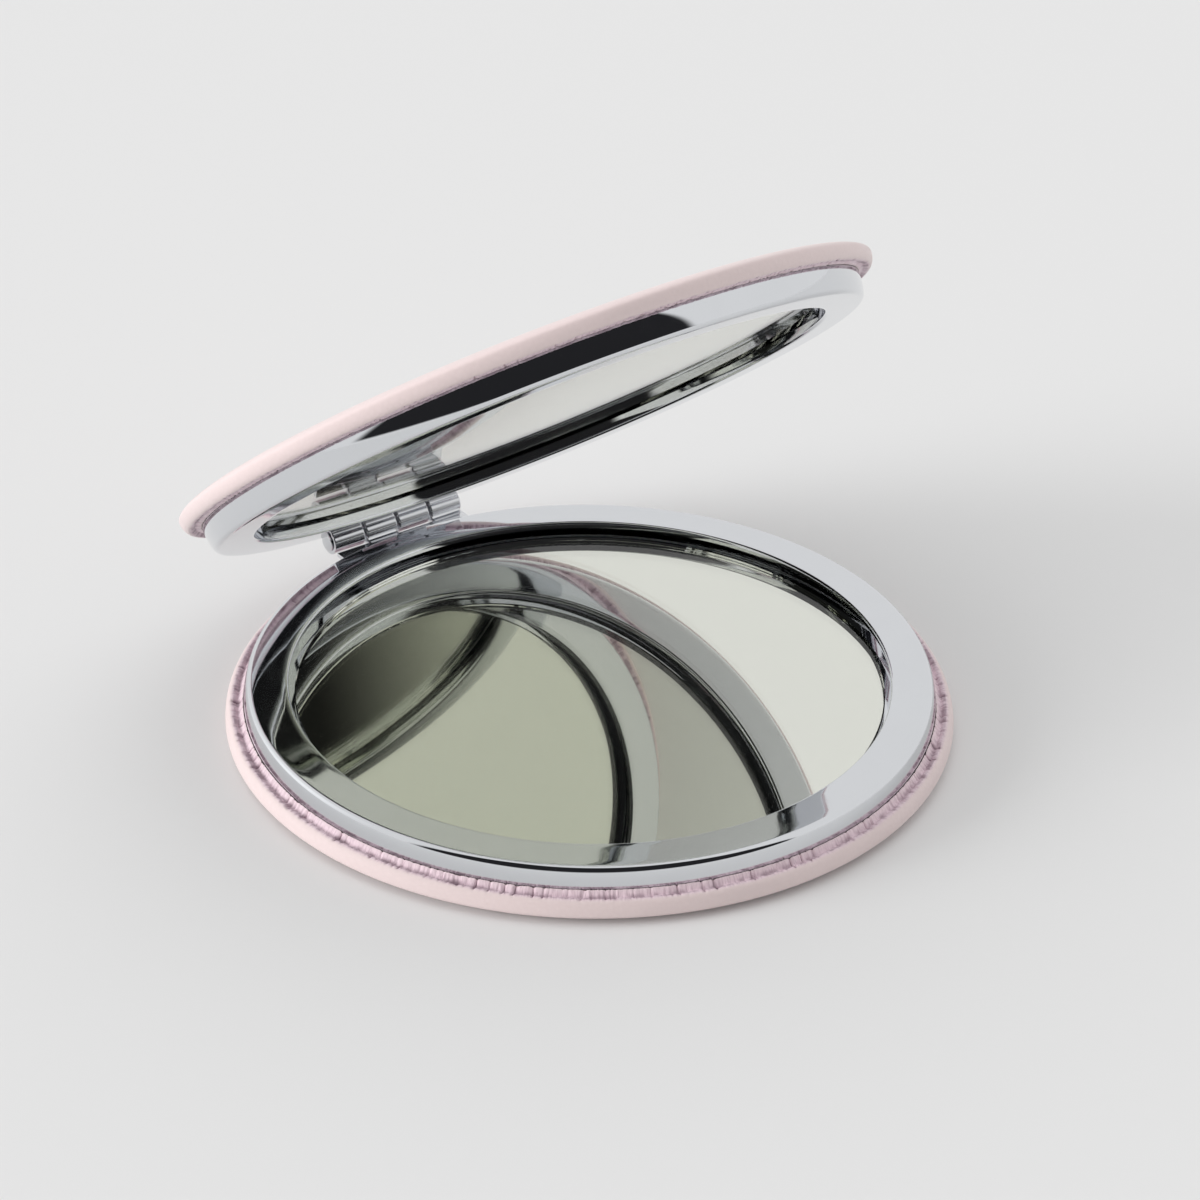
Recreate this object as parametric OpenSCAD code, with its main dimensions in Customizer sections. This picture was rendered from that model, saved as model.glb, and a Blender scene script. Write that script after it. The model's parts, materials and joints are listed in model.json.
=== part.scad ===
// Round hinged compact with two mirrors, chrome frames and gathered padded covers.
// Millimetres. The base lies on its cover at height 0, with the centre of its cover face at the
// origin, the hinge towards +Y, and the hinge pin along X.

/* [Compact] */
// Outside diameter of the padded covers
compact_d = 70; // [62:1:90]
// Gap left between the two lands when the compact is shut
closing_gap = 0.3; // [0.2:0.05:0.8]
// Angle at which the lid stands open
rest_opening = 40.5; // [0:0.1:150]

/* [Cover] */
// Thickness of the leather-look skin
skin_t = 0.5; // [0.4:0.05:0.65]
// Thickness of the foam padding under the skin
padding_t = 0.6; // [0.5:0.05:0.8]
// Thickness of the board that the skin is drawn over
board_t = 0.6; // [0.5:0.05:0.8]
// Width of the crowned edge round the cover face
crown_w = 4.2; // [1.5:0.1:6]
// Width of the hem, from the edge of the cover to its cut edge under the frame
hem_w = 4.2; // [3:0.1:5]
// Clearance between the skin and what it is drawn over
cover_clear = 0.03; // [0.02:0.01:0.06]

/* [Frame] */
// Height of the frame's land above the cover that the frame stands on
frame_h = 2.7; // [2.3:0.1:3.6]
// Thickness of the pressed sheet
frame_t = 0.35; // [0.25:0.05:0.45]
// Distance from the edge of the cover to the widest part of the frame's outer wall
frame_inset = 1.8; // [1.2:0.1:2.2]
// Width of the flat land between the outer edge and the mirror well
land_w = 3.2; // [3:0.1:4.6]
// Radius of the rounded outer edge of the land
land_edge_r = 0.6; // [0.4:0.05:0.7]
// Radius of the rounded edge between the land and the mirror well
well_edge_r = 0.3; // [0.2:0.05:0.4]
// Lean of the outer wall away from upright where it meets the rounded edge
wall_lean = 18; // [12:1:26]
// Angle by which the outer wall turns back under at its foot
foot_turn = 6; // [2:1:16]
// Lean of the well's wall away from upright
well_lean = 10; // [4:1:14]
// Thickness of the adhesive pad between the cover board and the frame
glue_t = 0.4; // [0.2:0.05:0.5]

/* [Mirror] */
// Thickness of the glass
glass_t = 0.85; // [0.7:0.05:1.2]
// Thickness of the reflecting coat and its backing paint
silvering_t = 0.05; // [0.03:0.01:0.1]
// Thickness of the adhesive disc behind the mirror
tape_t = 0.15; // [0.1:0.05:0.25]
// Clearance between the mirror and the wall of its well
mirror_clear = 0.15; // [0.1:0.05:0.3]

/* [Hinge] */
// Length of the row of knuckles
hinge_l = 15.2; // [12:0.2:20]
// Number of knuckles, the first one on the lid
knuckles = 4; // [2:1:6]
// Outside diameter of a knuckle
knuckle_d = 2.6; // [2.2:0.1:2.8]
// Gap between neighbouring knuckles
knuckle_gap = 0.15; // [0.1:0.05:0.3]
// Gap between the knuckles and the outer wall of the frames
knuckle_clear = 0.74; // [0.4:0.01:0.9]
// Diameter of the hinge pin
pin_d = 1.2; // [1:0.1:1.4]
// Radial clearance of the pin in the lid's knuckles
pin_run = 0.03; // [0.02:0.01:0.05]
// Radial clearance of the pin in the base's knuckles, where it is held
pin_hold = 0.01; // [0.01:0.01:0.02]
// Diameter of the formed heads of the pin
pin_head_d = 1.9; // [1.7:0.1:2.1]
// Thickness of the formed heads of the pin
pin_head_t = 0.3; // [0.2:0.05:0.5]
// Gap between a head of the pin and the end knuckle
pin_head_gap = 0.05; // [0.03:0.01:0.1]
// Thickness of the hinge leaves
leaf_t = 0.4; // [0.3:0.05:0.5]
// Depth of a hinge leaf under the land of its frame
leaf_depth = 3; // [2:0.1:3.2]
// Gap between a hinge leaf and the knuckles of the other leaf
leaf_clear = 0.3; // [0.2:0.05:0.5]
// Clearance round a hinge leaf in the slot of its frame
slot_clear = 0.1; // [0.05:0.05:0.2]

/* [Magnets] */
// Length of the closing magnets
magnet_l = 8; // [5:0.5:10]
// Gap between a closing magnet and the cover below it
magnet_clear = 0.9; // [0.2:0.05:1]
// Gap between a closing magnet and the walls of the hollow rim beside it
magnet_side = 0.2; // [0.1:0.05:0.4]

/* [Hidden] */
$fn = 128;
// Steps in a quarter of a rounded edge
edge_steps = 8;
// Overrun of every cut past the faces that it goes through
over = 1;

// Heights of one half, measured from its cover face
padding_z = skin_t;
board_z = padding_z + padding_t;
hem_z = board_z + board_t;
cover_h = hem_z + skin_t;
floor_z = hem_z + glue_t;
tape_z = floor_z + frame_t;
silvering_z = tape_z + tape_t;
glass_z = silvering_z + silvering_t;
half_h = cover_h + frame_h;
under_z = half_h - frame_t;

// Radii of the cover
cover_r = compact_d / 2;
rim_r = cover_h / 2;
hem_in_r = cover_r - hem_w;

// Outer wall of the frame: an arc between its foot on the hem and the rounded edge of the land
belly_r = cover_r - frame_inset;
wall_top_z = half_h - land_edge_r * (1 - sin(wall_lean));
wall_round_r = (wall_top_z - cover_h) / (sin(wall_lean) + sin(foot_turn));
wall_mid = [belly_r - wall_round_r, cover_h + wall_round_r * sin(foot_turn)];

// Land of the frame: centres of its two rounded edges
edge_z = half_h - land_edge_r;
ridge_r = wall_r(wall_top_z) - land_edge_r * cos(wall_lean);
land_in_r = ridge_r - land_w;
well_edge_z = half_h - well_edge_r;

// Wall of the mirror well
well_top_z = half_h - well_edge_r * (1 - sin(well_lean));
well_top_r = land_in_r - well_edge_r * cos(well_lean);
sheet_w = frame_t / cos(well_lean);
mirror_r = well_r(tape_z) - mirror_clear;

// Hinge axis, from which the knuckles clear the rounded edge of the land by knuckle_clear
hinge_z = half_h + closing_gap / 2;
hinge_reach = land_edge_r + knuckle_clear + knuckle_d / 2;
hinge_y = ridge_r + sqrt(pow(hinge_reach, 2) - pow(hinge_z - edge_z, 2));
knuckle_l = (hinge_l - (knuckles - 1) * knuckle_gap) / knuckles;
knuckle_step = knuckle_l + knuckle_gap;
leaf_z = under_z - leaf_t;
leaf_end_y = hinge_y - knuckle_d / 2 - leaf_clear;
leaf_in_y = leaf_end_y - leaf_depth;

// Magnet in the hollow rim under the land: its outer corners keep clear of the outer wall
magnet_z = cover_h + magnet_clear;
magnet_h = under_z - magnet_z;
magnet_room_r = min(wall_r(under_z, frame_t), wall_r(magnet_z, frame_t)) - magnet_side;
magnet_out_y = sqrt(pow(magnet_room_r, 2) - pow(magnet_l / 2, 2));
magnet_in_y = well_r(under_z) + sheet_w + magnet_side;

// Radius of the frame's outer wall at height z, on the face that lies inset inside the sheet
function wall_r(z, inset = 0) =
    wall_mid[0] + sqrt(pow(wall_round_r - inset, 2) - pow(z - wall_mid[1], 2));

// Radius of the well's wall, on the mirror side, at height z
function well_r(z) = well_top_r - (well_top_z - z) * tan(well_lean);

// Points of an arc of an ellipse from angle a to angle b
function arc(centre, rx, ry, a, b) = [
    for (i = [0 : edge_steps])
        let (angle = a + (b - a) * i / edge_steps)
        centre + [rx * cos(angle), ry * sin(angle)]
];

// Outline of the padded cover, shrunk by inset: crowned face below, round rim above
function cover_outline(inset) = concat(
    [[0, inset]],
    arc([cover_r - crown_w, rim_r], crown_w - inset, rim_r - inset, -90, 0),
    arc([cover_r - rim_r, rim_r], rim_r - inset, rim_r - inset, 0, 90),
    [[0, cover_h - inset]]
);

// Band of the half's section between two heights, out to radius r
module band(z0, z1, r) {
    translate([0, z0]) square([r, z1 - z0]);
}

// A flat disc of the half
module disc(z, thickness, r) {
    translate([0, 0, z]) cylinder(h = thickness, r = r);
}

// Skin drawn round the board, with its hem turned in over the board's back
module cover_skin() {
    rotate_extrude() difference() {
        polygon(cover_outline(0));
        polygon(cover_outline(skin_t));
        translate([0, hem_z]) square([hem_in_r, skin_t + over]);
    }
}

// What the skin is drawn over, between two heights
module cover_filling(z0, z1) {
    rotate_extrude() intersection() {
        polygon(cover_outline(skin_t + cover_clear));
        band(z0, z1, cover_r);
    }
}

module cover_padding() {
    cover_filling(padding_z, board_z);
}

module cover_board() {
    cover_filling(board_z, hem_z);
}

// Angle on the outer wall's arc at height z, on the face that lies inset inside the sheet
function wall_angle(z, inset) = asin((z - wall_mid[1]) / (wall_round_r - inset));

// Pressed frame: outer wall, land, well and floor, all of one sheet thickness
module frame_section() {
    inner_r = wall_round_r - frame_t;
    polygon(concat(
        arc(wall_mid, wall_round_r, wall_round_r, -foot_turn, wall_lean),
        arc([ridge_r, edge_z], land_edge_r, land_edge_r, wall_lean, 90),
        arc([land_in_r, well_edge_z], well_edge_r, well_edge_r, 90, 180 - well_lean),
        [
            [well_r(tape_z), tape_z],
            [0, tape_z],
            [0, floor_z],
            [well_r(floor_z) + sheet_w, floor_z],
            [well_r(under_z) + sheet_w, under_z]
        ],
        arc(wall_mid, inner_r, inner_r, wall_angle(under_z, frame_t), wall_angle(cover_h, frame_t))
    ));
}

// The frame with the slot through which its hinge leaf comes out
module frame() {
    difference() {
        rotate_extrude() frame_section();
        translate([-hinge_l / 2 - slot_clear, leaf_in_y, leaf_z - slot_clear])
            cube([hinge_l + 2 * slot_clear, leaf_depth + frame_inset + over, leaf_t + slot_clear]);
    }
}

// Leaf under the land, with every other knuckle from number first, bored for the pin
module hinge_leaf(first, clearance) {
    difference() {
        union() {
            translate([-hinge_l / 2, leaf_in_y, leaf_z])
                cube([hinge_l, leaf_depth, leaf_t]);
            for (i = [first : 2 : knuckles - 1])
                translate([i * knuckle_step - hinge_l / 2, 0, 0]) {
                    translate([0, leaf_end_y, leaf_z])
                        cube([knuckle_l, hinge_y - leaf_end_y, leaf_t]);
                    translate([0, hinge_y, hinge_z])
                        rotate([0, 90, 0]) cylinder(h = knuckle_l, d = knuckle_d);
                }
        }
        translate([-hinge_l / 2 - over, hinge_y, hinge_z])
            rotate([0, 90, 0]) cylinder(h = hinge_l + 2 * over, r = pin_d / 2 + clearance);
    }
}

// Bar magnet glued under the land, opposite the hinge
module magnet() {
    translate([-magnet_l / 2, -magnet_out_y, magnet_z])
        cube([magnet_l, magnet_out_y - magnet_in_y, magnet_h]);
}

// Turns a half over onto the base and swings it open about the hinge
module on_lid() {
    translate([0, hinge_y, hinge_z]) rotate([-rest_opening, 0, 0])
        mirror([0, 0, 1]) translate([0, -hinge_y, -hinge_z]) children();
}

module base_cover_skin() {
    color("mistyrose") cover_skin();
}

module base_cover_padding() {
    color("ivory") cover_padding();
}

module base_cover_board() {
    color("tan") cover_board();
}

module base_board_adhesive() {
    color("khaki") disc(hem_z, glue_t, well_r(floor_z));
}

module base_frame() {
    color("silver") frame();
}

module base_mirror_tape() {
    color("whitesmoke") disc(tape_z, tape_t, mirror_r);
}

module base_mirror_silvering() {
    color("lightgray") disc(silvering_z, silvering_t, mirror_r);
}

module base_mirror_glass() {
    color("lightcyan") disc(glass_z, glass_t, mirror_r);
}

module base_magnet() {
    color("dimgray") magnet();
}

module base_hinge_leaf() {
    color("gainsboro") hinge_leaf(1, pin_hold);
}

// Pin through all the knuckles, with a formed head past each end of the row
module hinge_pin() {
    shank_l = hinge_l + 2 * pin_head_gap;
    color("gray") translate([0, hinge_y, hinge_z]) rotate([0, 90, 0]) {
        cylinder(h = shank_l, d = pin_d, center = true);
        for (side = [0, 1])
            mirror([0, 0, side])
                translate([0, 0, shank_l / 2]) cylinder(h = pin_head_t, d = pin_head_d);
    }
}

module lid_cover_skin() {
    color("mistyrose") on_lid() cover_skin();
}

module lid_cover_padding() {
    color("ivory") on_lid() cover_padding();
}

module lid_cover_board() {
    color("tan") on_lid() cover_board();
}

module lid_board_adhesive() {
    color("khaki") on_lid() disc(hem_z, glue_t, well_r(floor_z));
}

module lid_frame() {
    color("silver") on_lid() frame();
}

module lid_mirror_tape() {
    color("whitesmoke") on_lid() disc(tape_z, tape_t, mirror_r);
}

module lid_mirror_silvering() {
    color("lightgray") on_lid() disc(silvering_z, silvering_t, mirror_r);
}

module lid_mirror_glass() {
    color("lightcyan") on_lid() disc(glass_z, glass_t, mirror_r);
}

module lid_magnet() {
    color("dimgray") on_lid() magnet();
}

module lid_hinge_leaf() {
    color("gainsboro") on_lid() hinge_leaf(0, pin_run);
}

base_cover_skin();
base_cover_padding();
base_cover_board();
base_board_adhesive();
base_frame();
base_mirror_tape();
base_mirror_silvering();
base_mirror_glass();
base_magnet();
base_hinge_leaf();
hinge_pin();
lid_cover_skin();
lid_cover_padding();
lid_cover_board();
lid_board_adhesive();
lid_frame();
lid_mirror_tape();
lid_mirror_silvering();
lid_mirror_glass();
lid_magnet();
lid_hinge_leaf();
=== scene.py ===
"""Visual model of a round hinged compact: two mirrors in pressed chrome frames, each frame on a
gathered padded cover, and a rolled hinge between them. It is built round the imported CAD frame.
Lengths are metres, and each half is drawn flat on its cover before it is put in its place."""

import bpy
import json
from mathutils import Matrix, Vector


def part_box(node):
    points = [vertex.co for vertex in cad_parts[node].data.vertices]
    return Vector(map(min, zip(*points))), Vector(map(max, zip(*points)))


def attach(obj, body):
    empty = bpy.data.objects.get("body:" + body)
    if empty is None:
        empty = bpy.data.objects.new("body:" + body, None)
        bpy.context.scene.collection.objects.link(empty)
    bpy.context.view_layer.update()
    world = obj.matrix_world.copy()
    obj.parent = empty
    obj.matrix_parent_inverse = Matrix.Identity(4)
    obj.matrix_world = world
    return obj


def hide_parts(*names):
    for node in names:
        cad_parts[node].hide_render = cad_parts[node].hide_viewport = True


bl_info = {
    "name": "Hinged compact mirror",
    "version": (1, 0, 0),
    "blender": (4, 5, 0),
    "location": "3D View > Sidebar > Compact",
    "description": "Builds the covers, frames, mirrors, hinge and stage of a round compact",
    "category": "Add Mesh",
}

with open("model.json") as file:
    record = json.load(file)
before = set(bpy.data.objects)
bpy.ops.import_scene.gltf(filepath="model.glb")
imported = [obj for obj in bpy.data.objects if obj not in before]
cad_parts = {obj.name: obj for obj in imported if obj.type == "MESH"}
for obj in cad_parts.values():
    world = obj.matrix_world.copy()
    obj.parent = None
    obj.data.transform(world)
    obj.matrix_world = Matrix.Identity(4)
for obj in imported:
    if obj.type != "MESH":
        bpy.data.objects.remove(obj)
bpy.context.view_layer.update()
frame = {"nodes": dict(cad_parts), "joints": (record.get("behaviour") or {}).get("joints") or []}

import json
import math

import bmesh
import bpy
from bpy.props import FloatProperty, FloatVectorProperty, IntProperty, PointerProperty
from mathutils import Matrix, Vector

MM = 0.001

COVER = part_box("base_cover_skin")[1]
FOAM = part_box("base_cover_padding")
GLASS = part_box("base_mirror_glass")
FRAME_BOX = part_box("base_frame")
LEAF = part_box("base_hinge_leaf")
HINGE = Vector(frame["joints"][0]["pos_m"])
OPENING = -math.radians(frame["joints"][0]["range_deg"][0])

# The lid is the base turned over in the plane of the hinge pin, then swung open about the pin
TO_LID = (
    Matrix.Translation(HINGE)
    @ Matrix.Rotation(-OPENING, 4, "X")
    @ Matrix.Scale(-1, 4, (0, 0, 1))
    @ Matrix.Translation(-HINGE)
)
HALVES = {"base": Matrix.Identity(4), "lid": TO_LID}


def length_of(name, description, default):
    """Length setting, with its default in millimetres."""
    return FloatProperty(name=name, description=description, default=default * MM, unit="LENGTH")


def angle_of(name, description, default):
    """Angle setting, with its default in degrees."""
    default = math.radians(default)
    return FloatProperty(name=name, description=description, default=default, subtype="ANGLE")


def colour_of(name, description, default):
    """Colour setting."""
    limits = {"size": 3, "min": 0, "max": 1}
    return FloatVectorProperty(
        name=name, description=description, default=default, subtype="COLOR", **limits
    )


def level_of(name, description, default, **limits):
    """Level of a light or a tone."""
    return FloatProperty(name=name, description=description, default=default, min=0, **limits)


class CoverSettings(bpy.types.PropertyGroup):
    """Sizes and finish of the padded covers"""

    skin: length_of("Skin", "Thickness of the skin", 0.5)
    crown: length_of("Crown", "Width of the crowned edge round the face", 4.2)
    hem: length_of("Hem", "Width of the turned-in hem", 4.2)
    base_bulge: length_of(
        "Base bulge", "Height of the base's padded rim above the foot of its frame", 0.30
    )
    lid_bulge: length_of(
        "Lid bulge", "Height of the lid's padded rim above the foot of its frame", 0.10
    )
    base_tuck: length_of(
        "Base tuck",
        "Height to which the base's gathers bunch up beside the foot of its frame",
        0.62,
    )
    lid_tuck: length_of(
        "Lid tuck", "Height to which the lid's gathers bunch up beside the foot of its frame", 0.12
    )
    tuck_clear: length_of(
        "Tuck clearance", "Gap between the bunched gathers and the wall of the frame", 0.05
    )
    rim: length_of("Rim", "Distance of the top of the padded rim from the edge of the cover", 0.78)
    gathers: IntProperty(
        name="Gathers", description="Number of gathers round the hem", default=150, min=12
    )
    gather_depth: length_of("Gather depth", "Depth of the deepest gather", 0.26)
    unevenness: FloatProperty(
        name="Unevenness",
        description="How far the gathers stray from an even spacing, in gathers",
        default=1.6,
    )
    seed: IntProperty(name="Seed", description="Seed of the uneven gathers", default=7)
    colour: colour_of("Skin colour", "Colour of the leather-look skin", (0.765, 0.635, 0.627))
    grain: length_of("Grain", "Size of the cells of the embossed grain", 0.42)


class FrameSettings(bpy.types.PropertyGroup):
    """Sizes and finish of the pressed frames"""

    sheet: length_of("Sheet", "Thickness of the sheet", 0.35)
    inset: length_of("Inset", "Distance of the outer wall from the edge of the cover", 1.8)
    land: length_of("Land", "Width of the flat land", 3.2)
    land_edge: length_of("Land edge", "Radius of the rounded outer edge of the land", 0.6)
    well_edge: length_of("Well edge", "Radius of the rounded edge of the mirror well", 0.3)
    wall_lean: angle_of("Wall lean", "Lean of the outer wall where it meets the land's edge", 18)
    foot_turn: angle_of("Foot turn", "Angle by which the outer wall turns under at its foot", 6)
    well_lean: angle_of("Well lean", "Lean of the wall of the mirror well", 3)
    pad: length_of("Pad", "Thickness of the adhesive pad below the frame", 0.4)
    colour: colour_of("Plating colour", "Colour of the bright plating", (0.715, 0.73, 0.755))


class MirrorSettings(bpy.types.PropertyGroup):
    """Sizes and finish of the mirrors"""

    arris: length_of("Arris", "Width of the ground edge of the glass", 0.12)
    lap: length_of("Lap", "How far the glass reaches into its reflecting coat", 0.02)
    glass: colour_of("Glass colour", "Tint of the glass", (0.965, 0.98, 0.955))
    silver: colour_of("Silver colour", "Colour of the reflecting coat", (0.82, 0.82, 0.775))


class HingeSettings(bpy.types.PropertyGroup):
    """Sizes and finish of the rolled hinge"""

    length: length_of("Length", "Length of the row of knuckles", 15.2)
    knuckles: IntProperty(
        name="Knuckles", description="Number of knuckles in the row", default=4, min=2
    )
    gap: length_of("Gap", "Gap between knuckles", 0.28)
    knuckle: length_of("Knuckle", "Radius of a knuckle", 1.3)
    bore: length_of("Bore", "Radius of the bore of a knuckle", 0.62)
    leaf: length_of("Leaf", "Thickness of a leaf", 0.4)
    leaf_clear: length_of(
        "Leaf clearance", "Gap between a leaf and the other leaf's knuckles", 0.3
    )
    edge: length_of("Edge", "Radius of the rounded edges", 0.11)
    seam: length_of("Seam", "Width of the seam where the rolled sheet meets its leaf", 0.16)
    pin: length_of("Pin", "Radius of the pin", 0.6)
    head: length_of("Head", "Radius of the heads of the pin", 0.95)
    colour: colour_of("Hinge colour", "Colour of the plated hinge", (0.70, 0.71, 0.73))


class StageSettings(bpy.types.PropertyGroup):
    """Floor, light and camera"""

    floor: colour_of("Floor colour", "Colour of the floor", (0.80, 0.80, 0.80))
    sky: level_of("Sky", "Level of the light from all round", 0.955)
    backdrop: level_of("Backdrop", "Level of the plain backdrop", 0.79, max=1)
    room: level_of("Room", "Level of the pale room that metal and glass show", 0.86, max=1)
    glow: level_of("Glow", "Level of the lit side of the room that metal and glass show", 1.2)
    shade: level_of(
        "Shade", "Share of the sky's light that comes from the dark side of the room", 0.32, max=1
    )
    key: level_of("Key lamp", "Strength of the lamp at the left", 2.08)
    key_angle: angle_of("Key lamp angle", "Angle that the soft lamp at the left spans", 31)
    key_turn: angle_of(
        "Key lamp turn", "Turn of the lamp from the camera's left towards the camera", 15.52
    )
    key_height: angle_of("Key lamp height", "Height of the lamp above the horizon", 12.67)
    azimuth: angle_of("Azimuth", "Turn of the camera from the view along +Y", -35.89)
    elevation: angle_of("Elevation", "Height of the camera above the horizon", 31.0)
    roll: angle_of("Roll", "Roll of the camera", -0.85)
    distance: length_of("Distance", "Distance of the camera", 399)
    right: length_of("Right", "Place of the base's centre in the view", -1.007)
    up: length_of("Up", "Place of the base's centre in the view", -11.161)
    lens: FloatProperty(name="Lens", description="Focal length", default=124.02)


# ---- Mesh helpers


def plain(name, mesh):
    """Mesh made from a bmesh, which is then freed."""
    made = bpy.data.meshes.new(name)
    mesh.to_mesh(made)
    mesh.free()
    return made


def placed(name, data):
    """New object in the scene."""
    made = bpy.data.objects.new(name, data)
    bpy.context.scene.collection.objects.link(made)
    return made


def arc(centre, rx, rz, first, last, steps):
    """Points of an arc of an ellipse, from angle first to angle last in degrees."""
    turns = (math.radians(first + (last - first) * i / steps) for i in range(steps + 1))
    return [(centre[0] + rx * math.cos(t), centre[1] + rz * math.sin(t)) for t in turns]


def eased(at):
    """Share from 0 to 1 that starts and ends softly."""
    at = min(1.0, max(0.0, at))
    return at * at * (3 - 2 * at)


def line(a, b, steps):
    """Points from a towards b, without a."""
    shares = (i / steps for i in range(1, steps + 1))
    return [(a[0] + (b[0] - a[0]) * at, a[1] + (b[1] - a[1]) * at) for at in shares]


def lathe(name, outline, segments, weights=None):
    """Closed mesh from an outline of (radius, height) that starts and ends on the axis."""
    mesh = bmesh.new()
    hem = mesh.verts.layers.float.new("hem")
    turns = [2 * math.pi * i / segments for i in range(segments)]
    rings = []
    for n, (r, z) in enumerate(outline):
        if r == 0:
            rings.append([mesh.verts.new((0, 0, z))])
        else:
            rings.append([mesh.verts.new((r * math.cos(t), r * math.sin(t), z)) for t in turns])
        for v in rings[-1]:
            v[hem] = weights[n] if weights else 0
    for a, b in zip(rings, rings[1:]):
        for i in range(segments):
            j = (i + 1) % segments
            corners = [a[i % len(a)], b[i % len(b)], b[j % len(b)], a[j % len(a)]]
            mesh.faces.new(list(dict.fromkeys(corners)))
    bmesh.ops.recalc_face_normals(mesh, faces=mesh.faces)
    return plain(name, mesh)


def smooth(mesh, angle=30):
    """Smooth shading with sharp edges above an angle in degrees."""
    mesh.shade_smooth()
    mesh.set_sharp_from_angle(angle=math.radians(angle))


def keep_home(mesh):
    """Stores each point's place in the flat half, which the finishes follow."""
    home = mesh.attributes.new("home", "FLOAT_VECTOR", "POINT")
    home.data.foreach_set("vector", [x for v in mesh.vertices for x in v.co])


def put(mesh, name, half, material, nodes):
    """Makes the piece of one half from a mesh that is drawn flat, and lets it ride."""
    keep_home(mesh)
    mesh.transform(HALVES[half])
    if HALVES[half].determinant() < 0:
        mesh.flip_normals()
    mesh.materials.clear()
    mesh.materials.append(material)
    piece = placed(name, mesh)
    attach(piece, half)
    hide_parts(*nodes)
    return piece


def evaluated(piece):
    """Plain mesh of a piece with its modifiers, which are then removed."""
    depsgraph = bpy.context.evaluated_depsgraph_get()
    mesh = bpy.data.meshes.new_from_object(
        piece.evaluated_get(depsgraph), preserve_all_data_layers=True, depsgraph=depsgraph
    )
    piece.modifiers.clear()
    return mesh


def through_nodes(mesh, tree, values):
    """Mesh that a Geometry Nodes tree makes of a mesh, with its inputs set by their names."""
    carrier = placed(mesh.name, mesh)
    modifier = carrier.modifiers.new(tree.name, "NODES")
    modifier.node_group = tree
    for item in tree.interface.items_tree:
        if item.in_out == "INPUT" and item.name in values:
            modifier[item.identifier] = values[item.name]
    made = evaluated(carrier)
    bpy.data.objects.remove(carrier)
    return made


# ---- Node helpers


def add(tree, kind, inputs=None, **settings):
    """Adds a node. Inputs go by name or number to a value or to the socket that feeds them."""
    node = tree.nodes.new(kind)
    for key, value in settings.items():
        setattr(node, key, value)
    for key, value in (inputs or {}).items():
        if isinstance(value, bpy.types.NodeSocket):
            tree.links.new(value, node.inputs[key])
        else:
            node.inputs[key].default_value = value
    return node


def calc(tree, operation, *values):
    """Result of a Math node."""
    return add(tree, "ShaderNodeMath", dict(enumerate(values)), operation=operation).outputs[0]


def vector(tree, operation, *values, result=0):
    """Result of a Vector Math node."""
    node = add(tree, "ShaderNodeVectorMath", dict(enumerate(values)), operation=operation)
    return node.outputs[result]


def remap(tree, value, low, high, to_low, to_high):
    """Value carried softly from one range to another, held at its ends."""
    inputs = {"Value": value, "From Min": low, "From Max": high}
    inputs.update({"To Min": to_low, "To Max": to_high})
    return add(tree, "ShaderNodeMapRange", inputs, interpolation_type="SMOOTHSTEP").outputs[0]


def times(tree, value, factor):
    """Product of two values."""
    return calc(tree, "MULTIPLY", value, factor)


def noise(tree, where, scale, detail=2.0, roughness=0.5):
    """Noise from 0 to 1 at a place, with a scale per metre."""
    inputs = {"Vector": where, "Scale": scale, "Detail": detail, "Roughness": roughness}
    return add(tree, "ShaderNodeTexNoise", inputs).outputs[0]


def cells_of(tree, where, scale):
    """Distance to the nearest of many scattered points, with a scale per metre."""
    return add(tree, "ShaderNodeTexVoronoi", {"Vector": where, "Scale": scale}).outputs["Distance"]


def mixed(tree, factor, a, b):
    """Colour between a and b."""
    inputs = {0: factor, 6: a, 7: b}
    return add(tree, "ShaderNodeMix", inputs, data_type="RGBA").outputs[2]


def toned(colour, factor):
    """Colour made darker or lighter, as RGBA."""
    return (*(min(1.0, c * factor) for c in colour), 1.0)


def bump(tree, height, distance, strength=1.0, normal=None):
    """Normal of a surface with a height of 0 to 1 over a distance in metres."""
    inputs = {"Height": height, "Distance": distance, "Strength": strength}
    if normal is not None:
        inputs["Normal"] = normal
    return add(tree, "ShaderNodeBump", inputs).outputs[0]


def finish(name, **fixed):
    """New material with its fixed values on the shader's sockets, and its tree."""
    material = bpy.data.materials.new(name)
    material.use_nodes = True
    shader = material.node_tree.nodes["Principled BSDF"]
    for key, value in fixed.items():
        shader.inputs[key.replace("_", " ")].default_value = value
    return material, material.node_tree


def feed(material, **sockets):
    """Links sockets to the inputs of a material's shader."""
    shader = material.node_tree.nodes["Principled BSDF"]
    for key, socket in sockets.items():
        material.node_tree.links.new(socket, shader.inputs[key.replace("_", " ")])
    return material


def home_of(tree):
    """Place in the flat half."""
    return add(tree, "ShaderNodeAttribute", attribute_name="home").outputs["Vector"]


def object_place(tree):
    """Place in the row frame, for a CAD node."""
    return add(tree, "ShaderNodeTexCoord").outputs["Object"]


def radius_of(tree, parts):
    """Distance from the z axis of a place, given as its x, y and z."""
    squares = (calc(tree, "POWER", parts[i], 2.0) for i in (0, 1))
    return calc(tree, "SQRT", calc(tree, "ADD", *squares))


def polar(tree, place, stretch):
    """Radius, turn times a stretch, and height of a place."""
    parts = add(tree, "ShaderNodeSeparateXYZ", {0: place}).outputs
    turn = times(tree, calc(tree, "ARCTAN2", parts[1], parts[0]), stretch)
    inputs = {0: radius_of(tree, parts), 1: turn, 2: parts[2]}
    return add(tree, "ShaderNodeCombineXYZ", inputs).outputs[0]


# ---- Finishes


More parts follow.
